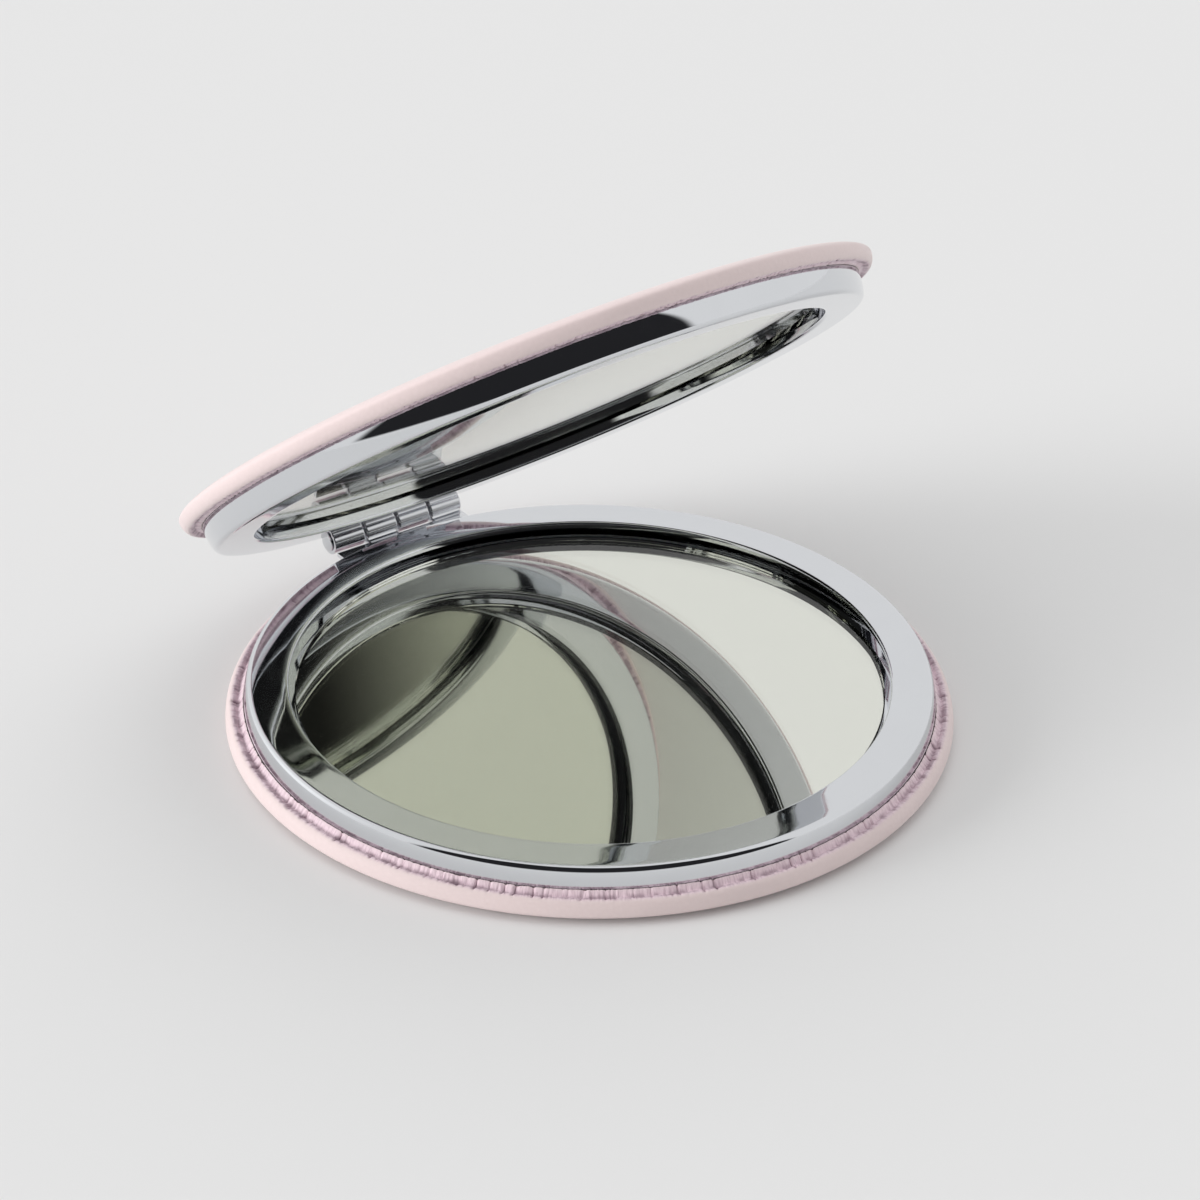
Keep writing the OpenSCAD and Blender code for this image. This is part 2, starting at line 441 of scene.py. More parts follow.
# Colours of the hem: its skin, and painted shade in its drawn lines, fold hollows and creases
HEM_TONE = (0.84, 0.665, 0.735, 1.0)
STREAK_SHADE_TONE = (0.34, 0.21, 0.27, 1.0)
FOLD_SHADE_TONE = (0.30, 0.19, 0.24, 1.0)
CREASE_SHADE_TONE = (0.16, 0.08, 0.12, 1.0)


def skin_finish(settings):
    """Pale coated leather look: embossed grain, and painted shade in the hem's lines, folds and
    creases.
    """
    material, tree = finish(
        "pale_coated_skin",
        Sheen_Weight=0.12,
        Sheen_Roughness=0.4,
        Coat_Weight=0.3,
        Coat_Roughness=0.38,
        IOR=1.5,
    )
    home = home_of(tree)
    crease, hem = (
        add(tree, "ShaderNodeAttribute", attribute_name=key).outputs["Fac"]
        for key in ("crease", "hem")
    )
    grain = {"Vector": home, "Scale": 1 / settings.grain, "Smoothness": 0.35, "Randomness": 0.9}
    cells = add(tree, "ShaderNodeTexVoronoi", grain, feature="SMOOTH_F1").outputs["Distance"]
    pores = noise(tree, home, 9000.0, 3.0, 0.6)
    cloud = noise(tree, home, 95.0, 3.0)
    # Lines drawn across the hem by its gathers, long from the frame to the rim and fine round it
    across = vector(tree, "MULTIPLY", polar(tree, home, 0.02), (0.12, 1.0, 0.12))
    drawn = noise(tree, across, 6500.0, 3.0, 0.6)
    # Painted shade along the darker lines, in the fine folds of the gathers
    streak_shade = times(tree, remap(tree, drawn, 0.43, 0.68, 0.0, 0.38), hem)
    # Painted shade: uneven dark hollows in the fold, where the share of the gathers is greatest
    pocket_shade = noise(tree, vector(tree, "MULTIPLY", home, (1.0, 1.0, 0.0)), 620.0, 2.0, 0.6)
    pocket_shade = remap(tree, pocket_shade, 0.42, 0.64, 0.0, 0.68)
    fold = times(tree, remap(tree, hem, 0.86, 1.12, 0.0, 1.0), pocket_shade)
    tone = mixed(tree, cloud, toned(settings.colour, 0.965), toned(settings.colour, 1.03))
    tone = mixed(tree, times(tree, cells, 0.22), tone, toned(settings.colour, 0.90))
    tone = mixed(tree, times(tree, hem, 0.9), tone, HEM_TONE)
    tone = mixed(tree, streak_shade, tone, STREAK_SHADE_TONE)
    tone = mixed(tree, fold, tone, FOLD_SHADE_TONE)
    # Painted shade, and dust, in the deepest creases of the gathers
    tone = mixed(tree, remap(tree, crease, 0.35, 1.0, 0.0, 0.7), tone, CREASE_SHADE_TONE)
    gloss = calc(tree, "ADD", remap(tree, cloud, 0.3, 0.7, 0.40, 0.50), times(tree, cells, 0.10))
    relief = calc(tree, "ADD", times(tree, cells, 0.75), times(tree, pores, 0.25))
    normal = bump(tree, relief, 0.028 * MM, 1.0, bump(tree, drawn, 0.09 * MM, hem))
    return feed(material, Base_Color=tone, Roughness=gloss, Normal=normal)


def foam_finish():
    """Open-celled padding foam."""
    material, tree = finish("padding_foam", Sheen_Weight=0.2, Specular_IOR_Level=0.2)
    home = home_of(tree)
    cells = cells_of(tree, home, 3200.0)
    stain = noise(tree, home, 140.0, 4.0)
    tone = mixed(tree, stain, (0.86, 0.83, 0.74, 1.0), (0.93, 0.91, 0.85, 1.0))
    tone = mixed(tree, times(tree, cells, 0.6), tone, (0.60, 0.56, 0.48, 1.0))
    gloss = remap(tree, cells, 0.0, 1.0, 0.8, 0.98)
    return feed(material, Base_Color=tone, Roughness=gloss, Normal=bump(tree, cells, 0.12 * MM))


def chrome_finish(name, colour, lined=1.0, dull=0.0):
    """Bright plating: the pressing's slight waves, polishing lines round it, and faint smears."""
    material, tree = finish(name, Metallic=1.0)
    where = home_of(tree)
    lines = noise(tree, polar(tree, where, 0.0012), 14000.0, 3.0, 0.65)
    waves = noise(tree, where, 75.0, 1.0)
    smears = noise(tree, where, 210.0, 4.0, 0.6)
    tone = mixed(tree, smears, toned(colour, 0.975), toned(colour, 1.02))
    base = 0.018 + dull
    smeared = remap(tree, smears, 0.42, 0.75, base, base + 0.05)
    gloss = calc(tree, "ADD", smeared, times(tree, lines, 0.02 * lined))
    normal = bump(tree, waves, 0.018 * MM)
    normal = bump(tree, lines, 0.00012 * lined * MM, 1.0, normal)
    return feed(material, Base_Color=tone, Roughness=gloss, Normal=normal)


def silver_finish(settings):
    """Reflecting coat with a faint cloud and scattered darker specks."""
    material, tree = finish("silvered_coat", Metallic=1.0)
    where = object_place(tree)
    cloud = noise(tree, where, 55.0, 3.0)
    specks = noise(tree, where, 2600.0, 1.0)
    tone = mixed(tree, cloud, toned(settings.silver, 0.985), toned(settings.silver, 1.0))
    specks = remap(tree, specks, 0.80, 0.86, 0.0, 0.5)
    tone = mixed(tree, specks, tone, toned(settings.silver, 0.6))
    gloss = remap(tree, cloud, 0.2, 0.8, 0.004, 0.010)
    return feed(material, Base_Color=tone, Roughness=gloss)


def glass_finish(settings):
    """Clear float glass with a faint wiped film on it."""
    material, tree = finish("mirror_glass", Transmission_Weight=1.0, IOR=1.52)
    home = home_of(tree)
    film = noise(tree, vector(tree, "MULTIPLY", home, (1.0, 0.35, 1.0)), 130.0, 3.0)
    tone = mixed(tree, film, toned(settings.glass, 0.995), toned(settings.glass, 1.0))
    return feed(material, Base_Color=tone, Roughness=remap(tree, film, 0.5, 0.8, 0.0, 0.012))


def board_finish():
    """Pressed grey board with short fibres."""
    material, tree = finish("pressed_board", Specular_IOR_Level=0.2)
    where = object_place(tree)
    fibres = noise(tree, vector(tree, "MULTIPLY", where, (1.0, 6.0, 6.0)), 700.0, 5.0, 0.7)
    flecks = noise(tree, where, 2600.0, 2.0)
    tone = mixed(tree, fibres, (0.44, 0.38, 0.30, 1.0), (0.66, 0.59, 0.49, 1.0))
    tone = mixed(tree, remap(tree, flecks, 0.66, 0.72, 0.0, 0.8), tone, (0.25, 0.21, 0.17, 1.0))
    gloss = remap(tree, fibres, 0.0, 1.0, 0.8, 0.95)
    return feed(material, Base_Color=tone, Roughness=gloss, Normal=bump(tree, fibres, 0.03 * MM))


def pad_finish():
    """Cream foam adhesive pad with open cells."""
    material, tree = finish("adhesive_pad", Specular_IOR_Level=0.3)
    where = object_place(tree)
    cells = cells_of(tree, where, 4200.0)
    cloud = noise(tree, where, 260.0, 4.0, 0.6)
    tone = mixed(tree, cloud, (0.80, 0.77, 0.61, 1.0), (0.89, 0.86, 0.71, 1.0))
    tone = mixed(tree, times(tree, cells, 0.5), tone, (0.62, 0.58, 0.44, 1.0))
    gloss = remap(tree, cloud, 0.2, 0.8, 0.6, 0.8)
    return feed(material, Base_Color=tone, Roughness=gloss, Normal=bump(tree, cells, 0.05 * MM))


def tape_finish():
    """White adhesive foam tape with fine bubbles."""
    material, tree = finish("adhesive_tape")
    where = object_place(tree)
    bubbles = cells_of(tree, where, 5200.0)
    cloud = noise(tree, where, 180.0, 3.0)
    tone = mixed(tree, cloud, (0.80, 0.80, 0.77, 1.0), (0.92, 0.92, 0.90, 1.0))
    gloss = remap(tree, cloud, 0.2, 0.8, 0.5, 0.7)
    return feed(material, Base_Color=tone, Roughness=gloss, Normal=bump(tree, bubbles, 0.02 * MM))


def magnet_finish():
    """Nickel-plated magnet: satin, with fine grinding lines and faint stains."""
    material, tree = finish("nickel_plated_magnet", Metallic=1.0)
    where = object_place(tree)
    lines = noise(tree, vector(tree, "MULTIPLY", where, (0.05, 1.0, 1.0)), 22000.0, 3.0)
    stain = noise(tree, where, 900.0, 3.0)
    tone = mixed(tree, stain, (0.40, 0.39, 0.37, 1.0), (0.62, 0.61, 0.58, 1.0))
    gloss = calc(tree, "ADD", remap(tree, stain, 0.3, 0.7, 0.22, 0.38), times(tree, lines, 0.12))
    return feed(material, Base_Color=tone, Roughness=gloss, Normal=bump(tree, lines, 0.004 * MM))


def floor_finish(settings):
    """Plain pale board."""
    material, tree = finish("pale_floor", Roughness=0.9, Specular_IOR_Level=0.1)
    cloud = noise(tree, object_place(tree), 3.0, 2.0)
    tone = mixed(tree, cloud, toned(settings.floor, 0.995), toned(settings.floor, 1.005))
    return feed(material, Base_Color=tone)


# ---- Geometry Nodes

# Slant of the creases, in gathers per metre of radius, and the radius where they aren't slanted
CREASE_SKEW = 900.0
CREASE_PIVOT = 33.9 * MM


def new_tree(name, *sockets):
    """Geometry Nodes tree with a geometry in and out, the named inputs, and its end nodes."""
    tree = bpy.data.node_groups.new(name, "GeometryNodeTree")
    tree.interface.new_socket(name="Geometry", in_out="INPUT", socket_type="NodeSocketGeometry")
    for label, kind in sockets:
        tree.interface.new_socket(name=label, in_out="INPUT", socket_type="NodeSocket" + kind)
    tree.interface.new_socket(name="Geometry", in_out="OUTPUT", socket_type="NodeSocketGeometry")
    return tree, tree.nodes.new("NodeGroupInput").outputs


def end_tree(tree, geometry, material):
    """Ends a tree in Realize Instances and Set Material."""
    whole = add(tree, "GeometryNodeRealizeInstances", {"Geometry": geometry}).outputs[0]
    made = add(tree, "GeometryNodeSetMaterial", {"Geometry": whole, "Material": material})
    add(tree, "NodeGroupOutput", {0: made.outputs[0]})


def gathering_tree():
    """Draws the hem of a cover into uneven gathers, and stores how deep each point lies in one."""
    tree, given = new_tree(
        "Gathered hem",
        ("Gathers", "Float"),
        ("Depth", "Float"),
        ("Unevenness", "Float"),
        ("Seed", "Float"),
        ("Skin", "Material"),
    )
    place = add(tree, "GeometryNodeInputPosition").outputs[0]
    hem = add(tree, "GeometryNodeInputNamedAttribute", {"Name": "hem"}, data_type="FLOAT")
    hem = hem.outputs[0]
    parts = add(tree, "ShaderNodeSeparateXYZ", {0: place}).outputs
    flat = add(tree, "ShaderNodeCombineXYZ", {0: parts[0], 1: parts[1]}).outputs[0]
    lift = add(tree, "ShaderNodeCombineXYZ", {2: given["Seed"]}).outputs[0]
    round_it = vector(tree, "ADD", vector(tree, "NORMALIZE", flat), lift)
    turn = calc(tree, "DIVIDE", calc(tree, "ARCTAN2", parts[1], parts[0]), 2 * math.pi)
    radius = radius_of(tree, parts)

    def centred(scale, detail):
        """Noise round the hem, from -0.5 to 0.5."""
        return calc(tree, "SUBTRACT", noise(tree, round_it, scale, detail), 0.5)

    def creases(share, wander, sharpness, low, high):
        """Creases of one size, of 0 to 1, at a share of the number of gathers."""
        stray = times(tree, centred(wander, 2.0), given["Unevenness"])
        skew = times(tree, centred(wander * 1.7, 1.0), CREASE_SKEW)
        lean = times(tree, skew, calc(tree, "SUBTRACT", radius, CREASE_PIVOT))
        count = calc(tree, "ROUND", times(tree, given["Gathers"], share))
        phase = calc(tree, "ADD", times(tree, turn, count), times(tree, stray, 4.0))
        phase = calc(tree, "FRACT", calc(tree, "ADD", phase, lean))
        fold = calc(tree, "ABSOLUTE", calc(tree, "SUBTRACT", times(tree, phase, 2.0), 1.0))
        depth = remap(tree, noise(tree, round_it, wander * 6.0, 1.0), low, high, 0.05, 1.0)
        return times(tree, calc(tree, "POWER", fold, sharpness), depth)

    large = creases(1.0, 9.0, 5.0, 0.36, 0.62)
    small = times(tree, creases(2.3, 15.0, 3.0, 0.40, 0.66), 0.45)
    crease = times(tree, calc(tree, "MAXIMUM", large, small), hem)
    inward = times(tree, crease, times(tree, given["Depth"], -1.0))
    normal = add(tree, "GeometryNodeInputNormal").outputs[0]
    inputs = {"Vector": normal, "Scale": inward}
    shift = add(tree, "ShaderNodeVectorMath", inputs, operation="SCALE").outputs[0]
    inputs = {"Geometry": given["Geometry"], "Offset": shift}
    moved = add(tree, "GeometryNodeSetPosition", inputs).outputs[0]
    # The stored depth also paints shade and dust into the deepest creases of the skin
    stored = add(
        tree,
        "GeometryNodeStoreNamedAttribute",
        {"Geometry": moved, "Name": "crease", "Value": crease},
        data_type="FLOAT",
        domain="POINT",
    ).outputs[0]
    end_tree(tree, stored, given["Skin"])
    return tree


def knuckle_tree():
    """Sets knuckles in a row along the pin and joins them to their leaf."""
    tree, given = new_tree(
        "Knuckle row",
        ("Knuckle", "Object"),
        ("Count", "Int"),
        ("First", "Float"),
        ("Step", "Float"),
        ("Plating", "Material"),
    )
    start = add(tree, "ShaderNodeCombineXYZ", {0: given["First"]}).outputs[0]
    step = add(tree, "ShaderNodeCombineXYZ", {0: given["Step"]}).outputs[0]
    inputs = {"Count": given["Count"], "Start Location": start, "Offset": step}
    row = add(tree, "GeometryNodeMeshLine", inputs).outputs[0]
    one = add(tree, "GeometryNodeObjectInfo", {"Object": given["Knuckle"]}).outputs["Geometry"]
    spread = add(tree, "GeometryNodeInstanceOnPoints", {"Points": row, "Instance": one}).outputs[0]
    both = add(tree, "GeometryNodeJoinGeometry")
    tree.links.new(given["Geometry"], both.inputs[0])
    tree.links.new(spread, both.inputs[0])
    end_tree(tree, both.outputs[0], given["Plating"])
    return tree


# ---- Outlines


# Angles round the padded rim from its outermost point: where the gathers start, where they are
# full, and where the rim ends in the fold
GATHERS_START, GATHERS_FULL, FOLD_AT = 62, 96, 122
# Shares of the gathers in the fold and at the wall of the frame
FOLD_SHARE, WALL_SHARE = 1.15, 0.65


def cover_outline(cover, inset, bulge, tuck):
    """Section of the skin, from the middle of its face round the rim and back inside, with the
    share of the gathers at each point."""
    radius, height, skin = COVER.x, COVER.z, cover.skin
    rim_z = height / 2
    crown_r = radius - cover.crown
    points = [(0, 0)] + line((0, 0), (crown_r, 0), 4)
    points += arc((crown_r, rim_z), cover.crown, rim_z, -90, 0, 18)[1:]
    shares = [0.0] * len(points)
    # The padded rim goes past its highest point into a fold, where the gathers are deepest
    steps = 24
    rim = arc((radius - cover.rim, rim_z), cover.rim, rim_z + bulge, 0, FOLD_AT, steps)
    for i, point in enumerate(rim[1:], 1):
        at = (i / steps * FOLD_AT - GATHERS_START) / (GATHERS_FULL - GATHERS_START)
        points.append(point)
        shares.append(FOLD_SHARE * eased(at))
    # From the fold the hem bunches up to the wall of the frame, then goes in flat under its foot
    fold, beside = points[-1], radius - inset + cover.tuck_clear
    steps = 8
    for i in range(1, steps + 1):
        at = i / steps
        rise = (height + tuck - fold[1]) * eased(at)
        points.append((fold[0] + (beside - fold[0]) * at, fold[1] + rise))
        shares.append(FOLD_SHARE + (WALL_SHARE - FOLD_SHARE) * at)
    hem_in, board_z = radius - cover.hem, height - skin
    hidden = line(points[-1], (beside, height), 2) + line((beside, height), (hem_in, height), 3)
    hidden += [(hem_in, board_z)] + line((hem_in, board_z), (radius - rim_z, board_z), 4)
    hidden += arc((radius - rim_z, rim_z), rim_z - skin, rim_z - skin, 90, 0, 6)[1:]
    hidden += arc((crown_r, rim_z), cover.crown - skin, rim_z - skin, 0, -90, 8)[1:]
    hidden += line((crown_r, skin), (0, skin), 3)
    return points + hidden, shares + [0.0] * len(hidden)


# Gap between the foam and the skin round it
FOAM_CLEAR = 0.03 * MM


def foam_outline(cover):
    """Section of the foam under the skin, with its edge shaped by the crown of the cover."""
    rim_z = COVER.z / 2
    inset = cover.skin + FOAM_CLEAR
    centre = (COVER.x - cover.crown, rim_z)
    edge = arc(centre, cover.crown - inset, rim_z - inset, -90, 0, 16)
    low = edge[0][1]
    top = FOAM[1].z
    points = [(0, low)] + line((0, low), edge[0], 4) + edge[1:]
    points[-1] = (points[-1][0], top)
    return points + line(points[-1], (0, top), 5)


# Size of the broken edges at the foot of the frame
FOOT_EDGE = 0.05 * MM


def frame_outline(press, skin):
    """Section of the pressed sheet, from the middle of the well's floor over the land to the
    foot, and back on the inside."""
    top, foot_z = FRAME_BOX[1].z, COVER.z
    belly = COVER.x - press.inset
    lean, turn, well = press.wall_lean, press.foot_turn, press.well_lean
    wall_top = top - press.land_edge * (1 - math.sin(lean))
    radius = (wall_top - foot_z) / (math.sin(lean) + math.sin(turn))
    mid = (belly - radius, foot_z + radius * math.sin(turn))

    def wall_r(z, inset=0.0):
        return mid[0] + math.sqrt((radius - inset) ** 2 - (z - mid[1]) ** 2)

    def wall_angle(z, inset=0.0):
        return math.degrees(math.asin((z - mid[1]) / (radius - inset)))

    ridge = wall_r(wall_top) - press.land_edge * math.cos(lean)
    land_in = ridge - press.land
    well_top_z = top - press.well_edge * (1 - math.sin(well))
    well_top_r = land_in - press.well_edge * math.cos(well)

    def well_r(z):
        return well_top_r - (well_top_z - z) * math.tan(well)

    floor_z = COVER.z - skin + press.pad
    seat_z = floor_z + press.sheet
    under = top - press.sheet
    width = press.sheet / math.cos(well)
    inner = radius - press.sheet
    lean, well = math.degrees(lean), math.degrees(well)

    points = [(0, seat_z)] + line((0, seat_z), (well_r(seat_z), seat_z), 5)
    points += line(points[-1], (well_top_r, well_top_z), 5)
    r = press.well_edge
    points += arc((land_in, top - r), r, r, 180 - well, 90, 12)[1:]
    points += line((land_in, top), (ridge, top), 6)
    r = press.land_edge
    points += arc((ridge, top - r), r, r, 90, lean, 16)[1:]
    foot = foot_z + FOOT_EDGE
    points += arc(mid, radius, radius, lean, wall_angle(foot), 14)[1:]
    points.append((wall_r(foot_z) - FOOT_EDGE, foot_z))
    points.append((wall_r(foot_z, press.sheet) + FOOT_EDGE, foot_z))
    ends = wall_angle(foot, press.sheet), wall_angle(under, press.sheet)
    points += arc(mid, inner, inner, *ends, 8)
    points += line(points[-1], (well_r(under) + width, under), 3)
    points += line(points[-1], (well_r(floor_z) + width, floor_z), 3)
    points += line(points[-1], (0, floor_z), 4)
    return points


# ---- Pieces

# Steps round the turned pieces
COVER_STEPS, FRAME_STEPS, DISC_STEPS, PIN_STEPS = 2160, 480, 240, 48
# Clearance round a hinge leaf in its slot, and how far the cut goes past the cover
SLOT_CLEAR = 0.1 * MM
SLOT_PAST = 1.0 * MM
# Rolled knuckle: lap of its tongue on the leaf, fillet below the tongue, how far the roll stops
# short of the leaf, and its steps
TONGUE_LAP = 0.25 * MM
TONGUE_FILLET = 0.16 * MM
ROLL_START, ROLL_END = 0.05, 0.22
ROLL_STEPS, BORE_STEPS = 64, 40
# Heads of the pin: their height and their gap beside the row of knuckles
HEAD_HEIGHT = 0.3 * MM
HEAD_GAP = 0.05 * MM
# Distance under which points of a knuckle are joined, and place of the loops beside its rounded
# ends, in radii of its edges
JOIN = 0.002 * MM
LOOP_AT = 1.3


def leaf_height():
    """Height of the underside of a hinge leaf, which lies under the land of its frame."""
    scene = bpy.context.scene
    return FRAME_BOX[1].z - scene.compact_frame.sheet - scene.compact_hinge.leaf


def block(low, high):
    """Block between two corners, as a bmesh."""
    mesh = bmesh.new()
    bmesh.ops.create_cube(mesh, size=1.0)
    for v in mesh.verts:
        v.co = Vector(low[i] if v.co[i] < 0 else high[i] for i in range(3))
    return mesh


def cut_slot(mesh, hinge):
    """Cuts the slot for the hinge leaf through the frame's wall."""
    side = hinge.length / 2 + SLOT_CLEAR
    low = (-side, LEAF[0].y, leaf_height() - SLOT_CLEAR)
    high = (side, COVER.x + SLOT_PAST, leaf_height() + hinge.leaf)
    carrier = placed("slot_carrier", mesh)
    cutter = placed("slot_tool", plain("slot_tool", block(low, high)))
    cut = carrier.modifiers.new("Slot", "BOOLEAN")
    cut.object, cut.operation, cut.solver = cutter, "DIFFERENCE", "EXACT"
    made = evaluated(carrier)
    bpy.data.objects.remove(carrier)
    bpy.data.objects.remove(cutter)
    return made


def round_at(radius, turn):
    """Point on a circle round the pin."""
    return (radius * math.cos(turn), radius * math.sin(turn))


def knuckle_section(hinge):
    """Section of a rolled knuckle round the pin, with its tongue towards the leaf and the seam
    where the roll comes back to it."""
    low = leaf_height() - HINGE.z
    top = low + hinge.leaf
    r, depth = hinge.knuckle, hinge.seam * 0.9
    start = math.pi + math.asin(-low / r)
    end = math.pi + math.asin(-top / r) - ROLL_END
    half_seam = hinge.seam / 2 / r
    tongue = -r - hinge.leaf_clear - TONGUE_LAP
    points = [(tongue, top), (tongue, low), (r * math.cos(start) - TONGUE_FILLET, low)]
    sweep = end - start + 2 * math.pi - ROLL_START
    for i in range(ROLL_STEPS):
        points.append(round_at(r, start + ROLL_START + sweep * i / ROLL_STEPS))
    seam_r = r * math.cos(end + 2.2 * half_seam)
    return points + [
        round_at(r, end),
        round_at(r - depth * 0.25, end + half_seam * 0.5),
        round_at(r - depth, end + half_seam),
        (seam_r - 0.02 * MM, top + 0.03 * MM),
        (seam_r - 0.14 * MM, top),
    ]


def knuckle_mesh(hinge, length):
    """One rolled knuckle from x = 0."""
    curve = bpy.data.curves.new("knuckle", "CURVE")
    curve.dimensions = "2D"
    curve.fill_mode = "BOTH"
    hole = [round_at(hinge.bore, -2 * math.pi * i / BORE_STEPS) for i in range(BORE_STEPS)]
    for loop in (knuckle_section(hinge), hole):
        spline = curve.splines.new("POLY")
        spline.points.add(len(loop) - 1)
        for p, (y, z) in zip(spline.points, loop):
            p.co = (y, z, 0, 1)
        spline.use_cyclic_u = True
    curve.extrude = length / 2 - hinge.edge
    curve.bevel_depth = hinge.edge
    curve.bevel_resolution = 3
    curve.offset = -hinge.edge
    carrier = placed("knuckle_curve", curve)
    mesh = evaluated(carrier)
    bpy.data.objects.remove(carrier)
    # The curve's own x, y and z are the part's y, z and x
    turned = Matrix(((0, 0, 1, 0), (1, 0, 0, 0), (0, 1, 0, 0), (0, 0, 0, 1)))
    mesh.transform(Matrix.Translation((length / 2, HINGE.y, HINGE.z)) @ turned)
    joined = bmesh.new()
    joined.from_mesh(mesh)
    bmesh.ops.remove_doubles(joined, verts=joined.verts, dist=JOIN)
    # Loops beside the rounded ends keep the shading of the long faces even
    for x in (LOOP_AT * hinge.edge, length - LOOP_AT * hinge.edge):
        whole = joined.verts[:] + joined.edges[:] + joined.faces[:]
        across = {"plane_co": (x, 0, 0), "plane_no": (1, 0, 0)}
        bmesh.ops.bisect_plane(joined, geom=whole, dist=1e-8, **across)
    bmesh.ops.recalc_face_normals(joined, faces=joined.faces)
    joined.to_mesh(mesh)
    joined.free()
    return mesh


def plate_mesh(name, low, high, edge):
    """Flat plate with rounded edges."""
    mesh = block(low, high)
    edges = mesh.edges[:]
    bmesh.ops.bevel(mesh, geom=edges, offset=edge, segments=3, profile=0.5, affect="EDGES")
    return plain(name, mesh)


def pin_mesh(hinge):
    """Pin with a domed head at each end, drawn round the z axis and laid along x."""
    shank, tall = hinge.length / 2 + HEAD_GAP, HEAD_HEIGHT
    head = [(0, -shank - tall)]
    head += arc((0, -shank - tall * 0.25), hinge.head, tall * 0.75, -84, 0, 8)
    head += [(hinge.head, -shank - tall * 0.08), (hinge.head - 0.06 * MM, -shank)]
    outline = head + [(hinge.pin, -shank)] + line((hinge.pin, -shank), (hinge.pin, shank), 8)
    outline += [(r, -z) for r, z in reversed(head)]
    mesh = lathe("pin", outline, PIN_STEPS)
    mesh.transform(Matrix.Translation(HINGE) @ Matrix.Rotation(math.pi / 2, 4, "Y"))
    return mesh


class COMPACT_OT_covers(bpy.types.Operator):
    """Build the gathered padded covers and the foam inside them"""

    bl_idname = "compact.covers"
    bl_label = "Padded covers"

    def execute(self, context):
        cover = context.scene.compact_cover
        skin, foam = skin_finish(cover), foam_finish()
        tree = gathering_tree()
        for half in HALVES:
            bulge, tuck = getattr(cover, half + "_bulge"), getattr(cover, half + "_tuck")
            points, shares = cover_outline(cover, context.scene.compact_frame.inset, bulge, tuck)
            values = {
                "Gathers": float(cover.gathers),
                "Depth": cover.gather_depth,
                "Unevenness": cover.unevenness,
                "Seed": float(cover.seed + list(HALVES).index(half)),
                "Skin": skin,
            }
            mesh = through_nodes(lathe(half + "_cover", points, COVER_STEPS, shares), tree, values)
            smooth(mesh, 50)
            piece = put(mesh, half + "_cover", half, skin, [half + "_cover_skin"])
            mesh = lathe(half + "_foam", foam_outline(cover), DISC_STEPS)
            smooth(mesh, 40)
            piece = put(mesh, half + "_foam", half, foam, [half + "_cover_padding"])
        return {"FINISHED"}


class COMPACT_OT_frames(bpy.types.Operator):
    """Build the pressed chrome frames"""

    bl_idname = "compact.frames"
    bl_label = "Pressed frames"

    def execute(self, context):
        press, hinge = context.scene.compact_frame, context.scene.compact_hinge
        chrome = chrome_finish("bright_plating", press.colour)
        outline = frame_outline(press, context.scene.compact_cover.skin)
        for half in HALVES:
            mesh = cut_slot(lathe(half + "_pressed_frame", outline, FRAME_STEPS), hinge)
            smooth(mesh, 35)
            put(mesh, half + "_pressed_frame", half, chrome, [half + "_frame"])
        return {"FINISHED"}


class COMPACT_OT_mirrors(bpy.types.Operator):
    """Build the mirror plates and finish their backing"""

    bl_idname = "compact.mirrors"
    bl_label = "Mirrors"

    def execute(self, context):
        mirror = context.scene.compact_mirror
        glass, silver, tape = glass_finish(mirror), silver_finish(mirror), tape_finish()
        # The glass reaches a hair into the coat, so that light inside it meets the coat first
        radius, low, high, edge = GLASS[1].x, GLASS[0].z - mirror.lap, GLASS[1].z, mirror.arris
        outline = [(0, low)] + line((0, low), (radius - edge, low), 3)
        outline += [(radius, low + edge), (radius, high - edge), (radius - edge, high)]
        outline += line((radius - edge, high), (0, high), 3)
        for half in HALVES:
            mesh = lathe(half + "_mirror_plate", outline, DISC_STEPS)
            smooth(mesh, 20)
            nodes = [half + "_mirror_glass"]
            put(mesh, half + "_mirror_plate", half, glass, nodes)
            for node, material in (("_mirror_silvering", silver), ("_mirror_tape", tape)):
                paint(half + node, material)
        return {"FINISHED"}


def paint(node, material):
    """Gives a CAD node that stays its material."""
    mesh = frame["nodes"][node].data
    mesh.materials.clear()
    mesh.materials.append(material)


class COMPACT_OT_hinge(bpy.types.Operator):
    """Build the two hinge leaves with their knuckles, and the pin"""

    bl_idname = "compact.hinge"
    bl_label = "Rolled hinge"

    def execute(self, context):
        hinge = context.scene.compact_hinge
        plating = chrome_finish("hinge_plating", hinge.colour, 0.05, 0.06)
        steel = chrome_finish("pin_steel", toned(hinge.colour, 0.92)[:3], 0.05, 0.10)
        count = hinge.knuckles
        length = (hinge.length - (count - 1) * hinge.gap) / count
        step = length + hinge.gap
        pattern = placed("knuckle_pattern", knuckle_mesh(hinge, length))
        y1 = HINGE.y - hinge.knuckle - hinge.leaf_clear
        tree = knuckle_tree()
        for half, first in (("base", 1), ("lid", 0)):
            leaf = plate_mesh(
                half + "_leaf",
                (-hinge.length / 2, LEAF[0].y, leaf_height()),
                (hinge.length / 2, y1, leaf_height() + hinge.leaf),
                hinge.edge / 2,
            )
            values = {
                "Knuckle": pattern,
                "Count": (count - first + 1) // 2,
                "First": first * step - hinge.length / 2,
                "Step": 2 * step,
                "Plating": plating,
            }
            mesh = through_nodes(leaf, tree, values)
            smooth(mesh, 40)
            nodes = [half + "_hinge_leaf"]
            put(mesh, half + "_hinge_knuckles", half, plating, nodes)
        bpy.data.objects.remove(pattern)
        mesh = pin_mesh(hinge)
        smooth(mesh, 40)
        put(mesh, "domed_hinge_pin", "base", steel, ["hinge_pin"])
        return {"FINISHED"}


